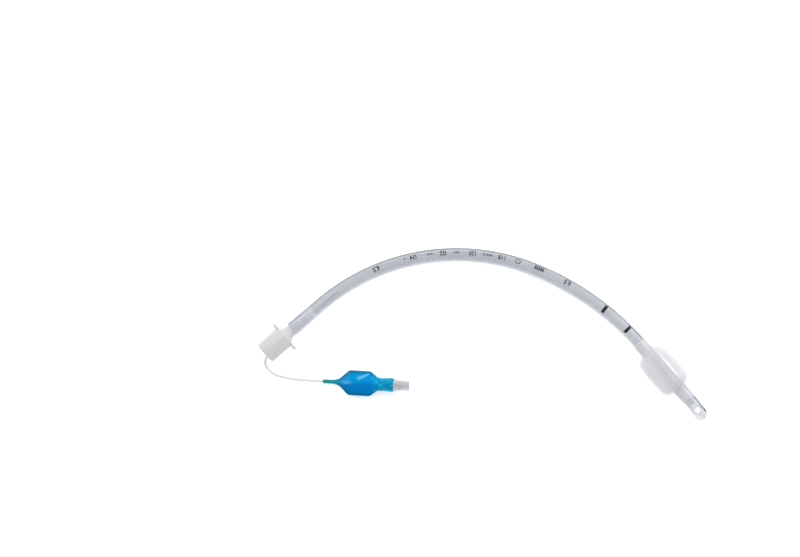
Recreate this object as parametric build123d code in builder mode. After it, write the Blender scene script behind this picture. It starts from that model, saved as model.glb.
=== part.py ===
"""Cuffed endotracheal tube, size 6.5, as it lies on a table: tube, cuff, connector, inflation line, pilot
balloon and valve. Millimetres, +Z up, table at Z = 0, the tube's arch seen from above."""
import os
from math import cos, degrees, pi, radians, sin, tan

from build123d import *

os.makedirs("parts", exist_ok=True)

# Tube
bore_d = 6.5
tube_d = 8.9
wall_mid = (bore_d + tube_d) / 4
machine_end = (-146.5, -13.0)
heading = 41.2
straight_length = 49.1
arch = [(62.4, 139.8), (27.3, 186.4)]
cuff_run = 51.0
tip_radius = 115.0
tip_length = 17.0
bevel_length = 10.6
eye_back = 9.6
eye_length = 7.2
eye_width = 4.4

# Heights of the tube's axis above the table, at the cone, the top of the arch and the cuff
cone_height = 9.95
arch_height = 4.47
cuff_height = 11.13

# Tube end stretched over the connector's spigot
tube_start = 24.7
flare_end = 44.0
spigot_end = 41.0
spigot_root_r = 3.85
spigot_tip_r = 3.4
flare_wall = 1.1

# Line in the wall that shows on an X-ray, and the inflation lumen under the bore
strand_width = 0.9
strand_depth = 0.6
lumen_width = 0.8
lumen_depth = 0.5
notch_at = 66.0
port_at = 315.5

# Cuff, measured along the tube from its first collar
collar_r = 4.75
collar_length = 9.7
film = 0.3
barrel = [
    (collar_length, collar_r), (10.0, 6.0), (13.2, 9.75), (15.3, 10.45), (25.4, 11.1), (35.8, 10.75),
    (38.5, 9.0), (40.4, 6.6), (41.0, collar_r),
]

# Connector, measured along its axis from the machine end
cone_r = 7.52
cone_taper = 1 / 80
cone_length = 17.6
shoulder_at = 18.7
shoulder_r = 6.0
mouth_r = 6.1
mouth_depth = 13.0
catheter_r = 2.9
grip_at = 17.3
grip_span = 22.7
grip_width = 7.0
grip_thickness = 1.6

# Inflation line
line_d = 1.6
line_socket = 5.0

# Pilot balloon and valve, measured along their own axis from the balloon's tail
tail_at = (-107.3, -31.7, 1.3)
pilot_turn = -3.1
pilot_rise = 4.6
tail_r = 1.25
sleeve_end = 7.6
pouch_start = 17.3
pouch_end = 31.9
neck_r = 4.4
pouch_half_width = 8.4
pouch_half_depth = 2.45
pilot_length = 47.6
spigot_r = 3.4
rim_r = 4.25
rim_thickness = 1.4
barrel_r = 3.3
valve_start = 38.6
valve_end = 58.2
port_r = 2.15
port_depth = 7.5
seat_thickness = 1.2
seat_r = 1.25
chamber_r = 2.3
poppet_travel = 1.5
spring_length = 5.6
spring_wire_r = 0.18


# Axis of the tube in its own flat plane
along = (cos(radians(heading)), sin(radians(heading)))
with BuildLine() as axis_line:
    lead = Line(machine_end, Vector(machine_end) + straight_length * Vector(along))
    chain = [lead]
    for turn, radius in arch:
        chain.append(JernArc(chain[-1] @ 1, chain[-1] % 1, radius, -turn))
    chain.append(Line(chain[-1] @ 1, (chain[-1] @ 1) + cuff_run * (chain[-1] % 1)))
    cuff_start = sum(e.length for e in chain[:-1])
    chain.append(JernArc(chain[-1] @ 1, chain[-1] % 1, tip_radius, -degrees(tip_length / tip_radius)))
tube_end = sum(e.length for e in chain)


def edge_at(s):
    """The edge of the axis that holds the distance s, and how far along it s lies, 0 to 1."""
    for e in chain[:-1]:
        if s <= e.length:
            return e, s / e.length
        s -= e.length
    return chain[-1], s / chain[-1].length


def station(s):
    """A plane across the tube at distance s: x to the outer curve, y up, z along the tube."""
    e, u = edge_at(s)
    t = e % u
    return Plane(e @ u, x_dir=(-t.Y, t.X, 0), z_dir=t)


def run(s0, s1):
    """The axis from distance s0 to s1."""
    edges = []
    for e in chain:
        a, b = max(s0, 0), min(s1, e.length)
        if b - a > 1e-4:
            edges.append(e.trim(a / e.length, b / e.length))
        s0 -= e.length
        s1 -= e.length
    return Wire(edges)


def beside(s):
    """A plane through the axis at distance s: x along the tube, y up."""
    p = station(s)
    return Plane(p.origin, x_dir=p.z_dir, z_dir=p.x_dir * -1)


# The plane that the tube's axis lies in at rest: the cuff, the arch and the line under the cone hold it up
cone_point = station(8.0).origin
arch_point = station(straight_length + 0.66 * chain[1].length).origin
cuff_point = station(cuff_start + cuff_run / 2).origin
supports = ((cone_point, cone_height), (arch_point, arch_height), (cuff_point, cuff_height))
(xa, ya, za), (xb, yb, zb), (xc, yc, zc) = [(p.X, p.Y, z) for p, z in supports]
det = (xb - xa) * (yc - ya) - (xc - xa) * (yb - ya)
slope_x = ((zb - za) * (yc - ya) - (zc - za) * (yb - ya)) / det
slope_y = ((xb - xa) * (zc - za) - (xc - xa) * (zb - za)) / det
level = za - slope_x * xa - slope_y * ya
rest = Location(Plane((0, 0, level), x_dir=(1, 0, slope_x), z_dir=(-slope_x, -slope_y, 1)))

# X-ray line
with BuildPart() as xray_flat:
    with BuildSketch(station(flare_end)) as strand:
        with Locations((wall_mid, 0)):
            Rectangle(strand_depth, strand_width)
    sweep(strand.sketch, path=run(flare_end, tube_end))
    with BuildSketch(station(tube_start)) as strand_end:
        with Locations((spigot_root_r + flare_wall / 2, 0)):
            Rectangle(strand_depth, strand_width)
    loft([strand_end.sketch, strand.sketch])

# Cut for the bevel, which faces up
tip = station(tube_end)
bevel_normal = tip.z_dir * tube_d + Vector(0, 0, bevel_length)
bevel_plane = Plane(tip.origin - Vector(0, 0, tube_d / 2), x_dir=tip.x_dir, z_dir=bevel_normal)
with BuildPart() as bevel_cut:
    with BuildSketch(bevel_plane) as bevel_face:
        Rectangle(3 * tube_d, 5 * tube_d)
    extrude(bevel_face.sketch, amount=2 * tube_d)

# Inflation line, from its socket in the tube wall under the tube and the cone to the balloon's tail
pilot_dir = Vector(
    cos(radians(pilot_rise)) * cos(radians(pilot_turn)),
    cos(radians(pilot_rise)) * sin(radians(pilot_turn)),
    sin(radians(pilot_rise)),
)
socket = rest * Pos(*station(notch_at).origin) * Pos(0, 0, -wall_mid)
low = line_d / 2 + 0.01
route = [
    Vector(*socket.position),
    Vector(-105.2, 22.1, low),
    Vector(-116.7, 12.5, low),
    Vector(-131.3, -0.6, low),
    Vector(-140.4, -9.5, low),
    Vector(-146.5, -16.2, low),
    Vector(-146.4, -22.0, low),
    Vector(-140.7, -27.1, low),
    Vector(-130.9, -30.0, low),
    Vector(*tail_at) - 6.0 * pilot_dir,
    Vector(*tail_at) + line_socket * pilot_dir,
]
spans = [(b - a).length for a, b in zip(route, route[1:])]
bends = []
for i in range(1, len(route) - 1):
    turn = (route[i] - route[i - 1]).get_angle(route[i + 1] - route[i])
    bends.append(0.45 * min(spans[i - 1], spans[i]) / tan(radians(turn / 2)))
with BuildPart() as inflation_line:
    with BuildLine() as line_path:
        FilletPolyline(*route, radius=bends)
    with BuildSketch(Plane(route[0], z_dir=route[1] - route[0])):
        Circle(line_d / 2)
    sweep(path=line_path.line)

# Main tube
with BuildPart() as tube_flat:
    with BuildSketch(station(flare_end)) as ring:
        Circle(tube_d / 2)
    sweep(ring.sketch, path=run(flare_end, tube_end))
    with BuildSketch(beside(0)) as flare:
        Polygon(
            (tube_start, 0),
            (tube_start, spigot_root_r + flare_wall),
            (spigot_end, spigot_tip_r + flare_wall + 0.1),
            (flare_end, tube_d / 2),
            (flare_end, 0),
            align=None,
        )
    revolve(flare.sketch, axis=Axis(machine_end, along))
    with BuildSketch(station(spigot_end + 1.5)) as bore:
        Circle(bore_d / 2)
    sweep(bore.sketch, path=run(spigot_end + 1.5, tube_end), mode=Mode.SUBTRACT)
    with BuildSketch(beside(0)) as flare_bore:
        Polygon(
            (tube_start, 0),
            (tube_start, spigot_root_r),
            (spigot_end, spigot_tip_r),
            (spigot_end + 1.5, bore_d / 2),
            (spigot_end + 1.5, 0),
            align=None,
        )
    revolve(flare_bore.sketch, axis=Axis(machine_end, along), mode=Mode.SUBTRACT)
    # Inflation lumen in the wall under the bore, with its port inside the cuff
    with BuildSketch(station(notch_at)) as lumen:
        with Locations((0, -wall_mid)):
            Rectangle(lumen_width, lumen_depth)
    sweep(lumen.sketch, path=run(notch_at, port_at), mode=Mode.SUBTRACT)
    with Locations(station(port_at).origin - Vector(0, 0, wall_mid)):
        Cylinder(0.45, 2.4, align=(Align.CENTER, Align.CENTER, Align.MAX), mode=Mode.SUBTRACT)
    # Eye in the wall opposite the bevel
    eye_plane = station(tube_end - eye_back)
    with BuildSketch(Plane(eye_plane.origin, x_dir=eye_plane.z_dir, z_dir=(0, 0, -1))) as eye:
        Ellipse(eye_length / 2, eye_width / 2)
    extrude(eye.sketch, amount=tube_d, mode=Mode.SUBTRACT)
    add(bevel_cut.part, mode=Mode.SUBTRACT)
    add(xray_flat.part, mode=Mode.SUBTRACT)
with BuildPart() as main_tube:
    add(rest * tube_flat.part)
    add(inflation_line.part, mode=Mode.SUBTRACT)
with BuildPart() as xray_line:
    add(rest * (xray_flat.part - bevel_cut.part))

# Cuff
with BuildPart() as cuff_flat:
    with BuildSketch(beside(cuff_start)) as cuff_profile:
        Polygon(
            (0, tube_d / 2), (0, collar_r), *barrel, (cuff_run, collar_r), (cuff_run, tube_d / 2),
            align=None,
        )
    with BuildSketch(beside(cuff_start)) as cuff_inside:
        Polygon((barrel[0][0], 0), *barrel, (barrel[-1][0], 0), align=None)
        offset(amount=-film, kind=Kind.INTERSECTION)
    cuff_axis = Axis(station(cuff_start).origin, station(cuff_start).z_dir)
    revolve(cuff_profile.sketch, axis=cuff_axis)
    revolve(cuff_inside.sketch, axis=cuff_axis, mode=Mode.SUBTRACT)
with BuildPart() as cuff:
    add(rest * cuff_flat.part)

# Connector
with BuildPart() as connector_flat:
    with BuildSketch(beside(0)) as outside:
        Polygon(
            (0, 0), (0, cone_r - 0.3), (0.3, cone_r), (cone_length, cone_r + cone_length * cone_taper),
            (shoulder_at, shoulder_r), (21.0, 4.4), (tube_start, spigot_root_r),
            (spigot_end - 0.3, spigot_tip_r), (spigot_end, spigot_tip_r - 0.2), (spigot_end, 0),
            align=None,
        )
    revolve(outside.sketch, axis=Axis(machine_end, along))
    with BuildSketch(station(grip_at - grip_thickness / 2)) as grips:
        RectangleRounded(grip_span, grip_width, 2.4)
    extrude(grips.sketch, amount=grip_thickness)
    with BuildSketch(beside(0)) as inside:
        Polygon(
            (0, 0), (0, mouth_r), (mouth_depth, mouth_r - 0.15), (17.0, 4.7), (20.2, catheter_r),
            (spigot_end, catheter_r), (spigot_end, 0),
            align=None,
        )
    revolve(inside.sketch, axis=Axis(machine_end, along), mode=Mode.SUBTRACT)
with BuildPart() as connector:
    add(rest * connector_flat.part)

# Pilot balloon: a flat pouch of two films welded at the sides, on a round sleeve and a round neck
pilot = Location(Plane(tail_at, x_dir=pilot_dir, z_dir=Vector(0, 0, 1) - pilot_dir * pilot_dir.Z))
pilot_axis = Axis((0, 0, 0), (1, 0, 0))


def across(t):
    """A plane across the pilot balloon at distance t: x sideways, y up."""
    return Plane((t, 0, 0), x_dir=(0, 1, 0), z_dir=(1, 0, 0))


films_meet = pouch_half_width + 0.6
film_bulge_r = (films_meet**2 + pouch_half_depth**2) / (2 * pouch_half_depth)
pouch_side = [
    (sleeve_end, 0.8 * tail_r), (10.9, 2.3), (pouch_start, pouch_half_width),
    (pouch_end, pouch_half_width), (37.0, neck_r), (valve_start, neck_r - 0.2),
]
with BuildPart() as pilot_flat:
    with BuildSketch(across(sleeve_end)) as films:
        for side in (1, -1):
            with Locations((0, side * (pouch_half_depth - film_bulge_r))):
                Circle(film_bulge_r, mode=Mode.ADD if side > 0 else Mode.INTERSECT)
    extrude(films.sketch, amount=valve_start - sleeve_end)
    with BuildSketch(Plane.XY) as pouch_outline:
        Polygon(*pouch_side, *[(t, -w) for t, w in reversed(pouch_side)], align=None)
    extrude(pouch_outline.sketch, amount=pouch_half_depth, both=True, mode=Mode.INTERSECT)
    with BuildSketch(Plane.XZ) as pinch:
        Polygon(
            (sleeve_end, -0.8 * tail_r), (sleeve_end, 0.8 * tail_r), (pouch_start, pouch_half_depth),
            (valve_start, pouch_half_depth), (valve_start, -pouch_half_depth),
            (pouch_start, -pouch_half_depth),
            align=None,
        )
    extrude(pinch.sketch, amount=pouch_half_width, both=True, mode=Mode.INTERSECT)
    with BuildSketch(Plane.XY) as sleeve_and_neck:
        Polygon(
            (0, 0), (0, tail_r), (sleeve_end, tail_r), (12.5, 2.0), (16.0, 0), (28.0, 0), (30.0, 1.4),
            (valve_start, neck_r), (pilot_length, neck_r), (pilot_length, spigot_r),
            (valve_start, spigot_r), (valve_start, 0),
            align=None,
        )
    revolve(sleeve_and_neck.sketch, axis=pilot_axis)
    with BuildSketch(across(0)) as line_hole:
        Circle(line_d / 2)
    extrude(line_hole.sketch, amount=line_socket, mode=Mode.SUBTRACT)
with BuildPart() as pilot_balloon:
    add(pilot * pilot_flat.part)

# Valve, turned about the pilot's axis
seat_face = valve_end - port_depth - seat_thickness
with BuildPart() as housing_flat:
    with BuildSketch(Plane.XY):
        Polygon(
            (valve_start, chamber_r), (valve_start, spigot_r), (pilot_length, spigot_r),
            (pilot_length, rim_r), (pilot_length + rim_thickness, rim_r),
            (pilot_length + rim_thickness, barrel_r), (valve_end, barrel_r), (valve_end, port_r),
            (valve_end - port_depth, port_r - 0.03 * port_depth), (valve_end - port_depth, seat_r),
            (seat_face, seat_r), (seat_face, chamber_r),
            align=None,
        )
    revolve(axis=pilot_axis)
with BuildPart() as valve_housing:
    add(pilot * housing_flat.part)

head_back = seat_face - 1.5
with BuildPart() as poppet_flat:
    with BuildSketch(Plane.XY):
        Polygon(
            (head_back - 2.0, 0), (head_back - 2.0, 0.6), (head_back, 0.6), (head_back, 1.9),
            (seat_face, 1.9), (seat_face, 0.85), (valve_end - 3.5, 0.85), (valve_end - 3.5, 0),
            align=None,
        )
    revolve(axis=pilot_axis)
with BuildPart() as valve_poppet:
    add(pilot * poppet_flat.part)

spring_foot = head_back - spring_length
with BuildPart() as spring_flat:
    with BuildLine():
        coil = Helix(
            pitch=(spring_length - 2 * spring_wire_r) / 4,
            height=spring_length - 2 * spring_wire_r,
            radius=1.2,
            center=(spring_foot + spring_wire_r, 0, 0),
            direction=(1, 0, 0),
        )
    with BuildSketch(Plane(coil @ 0, z_dir=coil % 0)):
        RegularPolygon(spring_wire_r, 6)
    sweep(path=coil, is_frenet=True)
with BuildPart() as valve_spring:
    add(pilot * spring_flat.part)

with BuildPart() as retainer_flat:
    with BuildSketch(across(spring_foot - 1.5)):
        Circle(chamber_r)
        Circle(0.8, mode=Mode.SUBTRACT)
    extrude(amount=1.5)
with BuildPart() as valve_retainer:
    add(pilot * retainer_flat.part)


def resting(point):
    """A point of the tube's flat plane, as it lies at rest."""
    return (rest * Pos(*point)).position


for name, s in (("machine end", 0.0), ("catheter bore middle", 30.6), ("cone middle", 8.0)):
    print(name, [round(v, 3) for v in resting(station(s).origin)])
print("tube direction at the cone", [round(v, 5) for v in resting(lead @ 1) - resting(lead @ 0)])
print("syringe port mouth", [round(v, 3) for v in (pilot * Pos(valve_end, 0, 0)).position])
print("pilot direction", [round(v, 5) for v in pilot_dir])
print("line arc radii mm:", [round(r, 1) for r in bends])
path_length = Wire(line_path.line.edges()).length
print("line volume by section x length:", round(path_length * pi * line_d**2 / 4, 2),
      "solid:", round(inflation_line.part.volume, 2), "length:", round(path_length, 1))

pieces = {
    "main_tube": main_tube, "xray_line": xray_line, "cuff": cuff, "connector": connector,
    "inflation_line": inflation_line, "pilot_balloon": pilot_balloon, "valve_housing": valve_housing,
    "valve_poppet": valve_poppet, "valve_spring": valve_spring, "valve_retainer": valve_retainer,
}
for name, piece in pieces.items():
    piece.part.label = name
    export_step(piece.part, f"parts/{name}.step")
    b = piece.part.bounding_box()
    print(f"{name:15s} {len(piece.part.solids())} {piece.part.volume:9.2f} mm3 "
          f"{b.min.X:8.2f} {b.max.X:8.2f} {b.min.Y:7.2f} {b.max.Y:7.2f} {b.min.Z:7.3f} {b.max.Z:7.3f}")
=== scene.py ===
"""Looks of a cuffed tracheal tube, size 6.5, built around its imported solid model. Metres, +Z up, and the
tube lies on its side on a pale floor with its arch seen from above."""

from math import acos, atan2, ceil, copysign, cos, exp, hypot, pi, radians, sin

import bmesh
import bpy
from mathutils import Matrix, Vector


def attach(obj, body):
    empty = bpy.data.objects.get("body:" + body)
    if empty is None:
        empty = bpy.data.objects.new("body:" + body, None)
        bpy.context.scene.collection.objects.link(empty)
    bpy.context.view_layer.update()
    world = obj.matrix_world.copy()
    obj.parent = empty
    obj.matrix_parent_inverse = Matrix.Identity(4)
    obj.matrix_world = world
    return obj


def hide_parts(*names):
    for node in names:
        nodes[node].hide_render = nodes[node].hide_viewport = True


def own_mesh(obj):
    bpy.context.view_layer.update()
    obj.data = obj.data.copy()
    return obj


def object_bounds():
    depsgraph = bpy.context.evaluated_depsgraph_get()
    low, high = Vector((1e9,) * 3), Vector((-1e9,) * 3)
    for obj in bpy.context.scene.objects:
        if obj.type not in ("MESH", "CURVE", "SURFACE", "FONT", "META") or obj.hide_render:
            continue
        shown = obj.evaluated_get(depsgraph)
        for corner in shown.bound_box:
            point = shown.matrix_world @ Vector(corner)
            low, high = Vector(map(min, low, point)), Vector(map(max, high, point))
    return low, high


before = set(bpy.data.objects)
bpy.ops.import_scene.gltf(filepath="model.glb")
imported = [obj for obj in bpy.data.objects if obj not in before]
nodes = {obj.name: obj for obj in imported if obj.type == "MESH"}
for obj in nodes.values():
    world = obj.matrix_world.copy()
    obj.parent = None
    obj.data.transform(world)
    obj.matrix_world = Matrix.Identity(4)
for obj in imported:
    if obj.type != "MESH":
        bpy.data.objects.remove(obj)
solid_box = [list(corner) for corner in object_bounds()]

bl_info = {
    "name": "Tracheal tube looks",
    "version": (1, 0, 0),
    "blender": (4, 5, 0),
    "location": "3D Viewport > Sidebar > Tracheal tube",
    "description": "Builds the clear tube, its cuff, connector, inflation line and pilot balloon",
    "category": "Add Mesh",
}

MM = 0.001

# Bodies of the frame: all that stays together, and the valve's poppet
SET = "tube_set"
STEM = "valve_stem"

# Distances along the axis from the connector's face
TUBE_START = 24.7 * MM
SPIGOT_END = 41.0 * MM
FLARE_END = 44.0 * MM
LINE_LEAVES = 66.0 * MM

# Distances back from the tip
EYE_BACK = 9.6 * MM
STRAND_BACK = 3.6 * MM

EYE_HALF_WIDTH = 2.2 * MM
EYE_HALF_LENGTH = 3.6 * MM
LINE_RADIUS = 0.8 * MM

# Ends of the balloon's slanting fold, as (distance from the tail, sideways) in millimetres
FOLD_ENDS = ((24.0, 3.2), (30.6, 6.4))


class TubeSizes(bpy.types.PropertyGroup):
    """Sizes of the tube, as in the solid model."""

    bore: bpy.props.FloatProperty(
        name="Bore", description="Inside diameter of the tube", default=6.5 * MM, unit="LENGTH")
    diameter: bpy.props.FloatProperty(
        name="Diameter", description="Outside diameter of the tube", default=8.9 * MM, unit="LENGTH")
    machine_end: bpy.props.FloatVectorProperty(
        name="Machine end", description="Where the connector's face cuts the tube's axis",
        size=2, default=(-146.5 * MM, -13.0 * MM), unit="LENGTH")
    heading: bpy.props.FloatProperty(
        name="Heading", description="Direction of the tube at the connector, seen from above",
        default=radians(41.2), subtype="ANGLE")
    straight: bpy.props.FloatProperty(
        name="Straight length", description="Length before the arch begins", default=49.1 * MM,
        unit="LENGTH")
    arch_turns: bpy.props.FloatVectorProperty(
        name="Arch turns", description="How far each of the arch's two arcs turns", size=2,
        default=(radians(62.4), radians(27.3)))
    arch_radii: bpy.props.FloatVectorProperty(
        name="Arch radii", description="Radius of each of the arch's two arcs", size=2,
        default=(139.8 * MM, 186.4 * MM), unit="LENGTH")
    cuff_run: bpy.props.FloatProperty(
        name="Cuff run", description="Straight length under the cuff and its collars",
        default=51.0 * MM, unit="LENGTH")
    tip_radius: bpy.props.FloatProperty(
        name="Tip radius", description="Radius that the tip bends to", default=115.0 * MM, unit="LENGTH")
    tip_length: bpy.props.FloatProperty(
        name="Tip length", description="Length of the tip past the cuff", default=17.0 * MM,
        unit="LENGTH")
    bevel_length: bpy.props.FloatProperty(
        name="Bevel length", description="Length of the slanted cut at the patient end",
        default=10.6 * MM, unit="LENGTH")
    heights: bpy.props.FloatVectorProperty(
        name="Heights", description="Height of the axis at the cone, the top of the arch and the cuff",
        size=3, default=(9.95 * MM, 4.47 * MM, 11.13 * MM), unit="LENGTH")


class Finishes(bpy.types.PropertyGroup):
    """Colours of the finishes."""

    tube: bpy.props.StringProperty(
        name="Tube", description="sRGB hex colour of the clear tube", default="#AFB5BE")
    strand: bpy.props.StringProperty(
        name="X-ray strand", description="sRGB hex colour of the X-ray strand", default="#0B1328")
    film: bpy.props.StringProperty(
        name="Cuff film", description="sRGB hex colour of the cuff's film", default="#D2D0D7")
    connector: bpy.props.StringProperty(
        name="Connector", description="sRGB hex colour of the connector", default="#BFBFBF")
    line: bpy.props.StringProperty(
        name="Inflation line", description="sRGB hex colour of the inflation line", default="#D6D7D9")
    pouch: bpy.props.StringProperty(
        name="Pilot balloon", description="sRGB hex colour of the pilot balloon", default="#0074B9")
    ink: bpy.props.StringProperty(
        name="Ink", description="sRGB hex colour of the print", default="#08090F")


class StageSizes(bpy.types.PropertyGroup):
    """Where the camera and the lights stand."""

    camera_height: bpy.props.FloatProperty(
        name="Camera height", description="Height of the camera over the floor", default=5.0,
        unit="LENGTH")
    camera_over: bpy.props.FloatVectorProperty(
        name="Camera over", description="The point of the floor that the camera stands over", size=2,
        default=(-55.46 * MM, 37.55 * MM), unit="LENGTH")
    view_width: bpy.props.FloatProperty(
        name="View width", description="Width that the picture shows at the height of the tube's axis",
        default=538.7 * MM, unit="LENGTH")


# Shared helpers


def linear(hex_colour):
    """Linear RGBA of an sRGB hex colour."""
    parts = [int(hex_colour[i:i + 2], 16) / 255 for i in (1, 3, 5)]
    return tuple(c / 12.92 if c <= 0.04045 else ((c + 0.055) / 1.055) ** 2.4 for c in parts) + (1.0,)


def add_node(material, kind, inputs=None, **settings):
    """A shader node with its settings, and its inputs as values or as links from other sockets."""
    node = material.node_tree.nodes.new(kind)
    for name, value in settings.items():
        setattr(node, name, value)
    for name, value in (inputs or {}).items():
        if isinstance(value, bpy.types.NodeSocket):
            material.node_tree.links.new(value, node.inputs[name])
        else:
            node.inputs[name].default_value = value
    return node


def new_material(name):
    """A node material with no nodes yet."""
    material = bpy.data.materials.new(name)
    material.use_nodes = True
    material.node_tree.nodes.clear()
    return material


def put_in_scene(name, data):
    """A new object for a mesh, a curve, a light or a camera."""
    made = bpy.data.objects.new(name, data)
    bpy.context.scene.collection.objects.link(made)
    return made


def mesh_of(bm, name):
    """A mesh made from a bmesh, which is used up."""
    mesh = bpy.data.meshes.new(name)
    bm.to_mesh(mesh)
    bm.free()
    return mesh


def axis_runs(sizes):
    """The straights and arcs of the tube's axis, each as its length and its clockwise turn."""
    arcs = [(turn * radius, turn) for turn, radius in zip(sizes.arch_turns, sizes.arch_radii)]
    tip = (sizes.tip_length, sizes.tip_length / sizes.tip_radius)
    return [(sizes.straight, 0.0), *arcs, (sizes.cuff_run, 0.0), tip]


def tube_length(sizes):
    """Length of the axis from the connector's face to the tip."""
    return sum(length for length, turn in axis_runs(sizes))


def cuff_start(sizes):
    """Distance along the axis at which the cuff's first collar begins."""
    return tube_length(sizes) - sizes.tip_length - sizes.cuff_run


def station(sizes, s):
    """A frame across the tube at distance s: x to the outer curve, y up and z along the tube."""
    x, y = sizes.machine_end
    heading = sizes.heading
    for length, turn in axis_runs(sizes):
        part = min(s, length)
        bend = turn * part / length
        chord = 2 * length / turn * sin(bend / 2) if turn else part
        x += chord * cos(heading - bend / 2)
        y += chord * sin(heading - bend / 2)
        heading -= bend
        s -= part
        if s < 1e-9:
            break
    along = Vector((cos(heading), sin(heading), 0))
    outward = Vector((-sin(heading), cos(heading), 0))
    matrix = Matrix((outward, (0, 0, 1), along)).transposed().to_4x4()
    matrix.translation = (x, y, 0)
    return matrix


def unbend(sizes):
    """A function that gives a point's place if the axis were straight: out to the curve, up and along."""
    runs = []
    mark = 0.0
    for length, turn in axis_runs(sizes):
        runs.append((mark, length, turn, station(sizes, mark).inverted()))
        mark += length

    def place(point):
        for mark, length, turn, inverse in runs:
            x, y, z = inverse @ point
            if turn:
                radius = length / turn
                x, z = hypot(x + radius, z) - radius, atan2(z, x + radius) * radius
            if z <= length or mark == runs[-1][0]:
                return Vector((x, y, mark + z))

    return place


def rest_plane(sizes):
    """The matrix that lays the tube's flat plane on its three supports."""
    # They are the cone 8 mm from its face, the first arc two thirds along and the middle of the cuff
    arch_mark = sizes.straight + 0.66 * axis_runs(sizes)[1][0]
    marks = (8 * MM, arch_mark, cuff_start(sizes) + sizes.cuff_run / 2)
    a, b, c = [station(sizes, s).translation + Vector((0, 0, z)) for s, z in zip(marks, sizes.heights)]
    up = (b - a).cross(c - a).normalized()
    if up.z < 0:
        up.negate()
    slope_x = -up.x / up.z
    x_axis = Vector((1, 0, slope_x)).normalized()
    matrix = Matrix((x_axis, up.cross(x_axis), up)).transposed().to_4x4()
    matrix.translation = (0, 0, a.z + (up.x * a.x + up.y * a.y) / up.z)
    return matrix


def wall_middle(sizes):
    """Radius of the middle of the tube's wall."""
    return (sizes.bore + sizes.diameter) / 4


def new_edges(geometry):
    """The edges among some new geometry whose two ends are both new."""
    verts = {v for v in geometry if isinstance(v, bmesh.types.BMVert)}
    return [e for e in geometry if isinstance(e, bmesh.types.BMEdge) and set(e.verts) <= verts]


def ring_of(bm, radius, matrix, segments=64):
    """A new circle of edges."""
    made = bmesh.ops.create_circle(bm, cap_ends=False, segments=segments, radius=radius, matrix=matrix)
    return list({e for v in made["verts"] for e in v.link_edges})


def next_ring(bm, ring, matrix):
    """Extrudes a ring of edges and moves the new ring by a matrix."""
    made = bmesh.ops.extrude_edge_only(bm, edges=ring)["geom"]
    verts = [v for v in made if isinstance(v, bmesh.types.BMVert)]
    bmesh.ops.transform(bm, matrix=matrix, verts=verts)
    return new_edges(made)


def sweep_ring(bm, sizes, ring, start, stop):
    """Carries a ring of edges along the tube's axis, and returns the last ring."""
    mark = 0.0
    for length, turn in axis_runs(sizes):
        a = max(start, mark)
        b = min(stop, mark + length)
        if b - a > 1e-7:
            here = station(sizes, a)
            if turn:
                # A step for each 1.2 degrees keeps the arcs round
                centre = here.translation - here.to_3x3().col[0] * (length / turn)
                bend = turn * (b - a) / length
                spun = bmesh.ops.spin(
                    bm, geom=ring, cent=centre, axis=(0, 0, 1), angle=-bend,
                    steps=max(2, ceil(bend / radians(1.2))), use_merge=False, use_duplicate=False,
                )
                ring = [e for e in spun["geom_last"] if isinstance(e, bmesh.types.BMEdge)]
            else:
                ring = next_ring(bm, ring, station(sizes, b) @ here.inverted())
        mark += length
    return ring


def turned(profile, steps, closed):
    """A bmesh of a profile, as (distance along z, radius) in millimetres, spun once around the z axis."""
    bm = bmesh.new()
    verts = [bmesh.ops.create_vert(bm, co=(r * MM, 0, s * MM))["vert"][0] for s, r in profile]
    following = verts[1:] + verts[:1] if closed else verts[1:]
    edges = [bm.edges.new(pair) for pair in zip(verts, following)]
    bmesh.ops.spin(
        bm, geom=verts + edges, cent=(0, 0, 0), axis=(0, 0, 1), angle=2 * pi, steps=steps,
        use_merge=True, use_duplicate=False)
    bmesh.ops.recalc_face_normals(bm, faces=bm.faces)
    return bm


def piece(name, bm, material, slot, *stands_for, matrix=None, sharp=radians(40), body=SET):
    """Makes a bmesh a finished piece that rides on a body and stands for CAD nodes."""
    if matrix is not None:
        bmesh.ops.transform(bm, matrix=matrix, verts=bm.verts)
    mesh = mesh_of(bm, name)
    mesh.shade_smooth()
    mesh.set_sharp_from_angle(angle=sharp)
    mesh.materials.append(material)
    made = put_in_scene(name, mesh)
    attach(made, body)
    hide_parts(*stands_for)
    return made


def keep_places(made, name, place):
    """Stores a place for each vertex, which patterns that follow the piece's surface read."""
    attribute = made.data.attributes.new(name, "FLOAT_VECTOR", "POINT")
    for vertex, value in zip(made.data.vertices, attribute.data):
        value.vector = place(vertex.co)


def combine(bm, other, operation):
    """Cuts another closed bmesh out of a bmesh, or joins the two. Both are used up."""
    body, tool = [put_in_scene("cut", mesh_of(part, "cut")) for part in (bm, other)]
    boolean = body.modifiers.new("Cut", "BOOLEAN")
    boolean.object = tool
    boolean.operation = operation
    boolean.solver = "EXACT"
    result = bmesh.new()
    result.from_object(body, bpy.context.evaluated_depsgraph_get())
    for thing in (body, tool):
        mesh = thing.data
        bpy.data.objects.remove(thing)
        bpy.data.meshes.remove(mesh)
    return result


# Finishes


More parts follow.
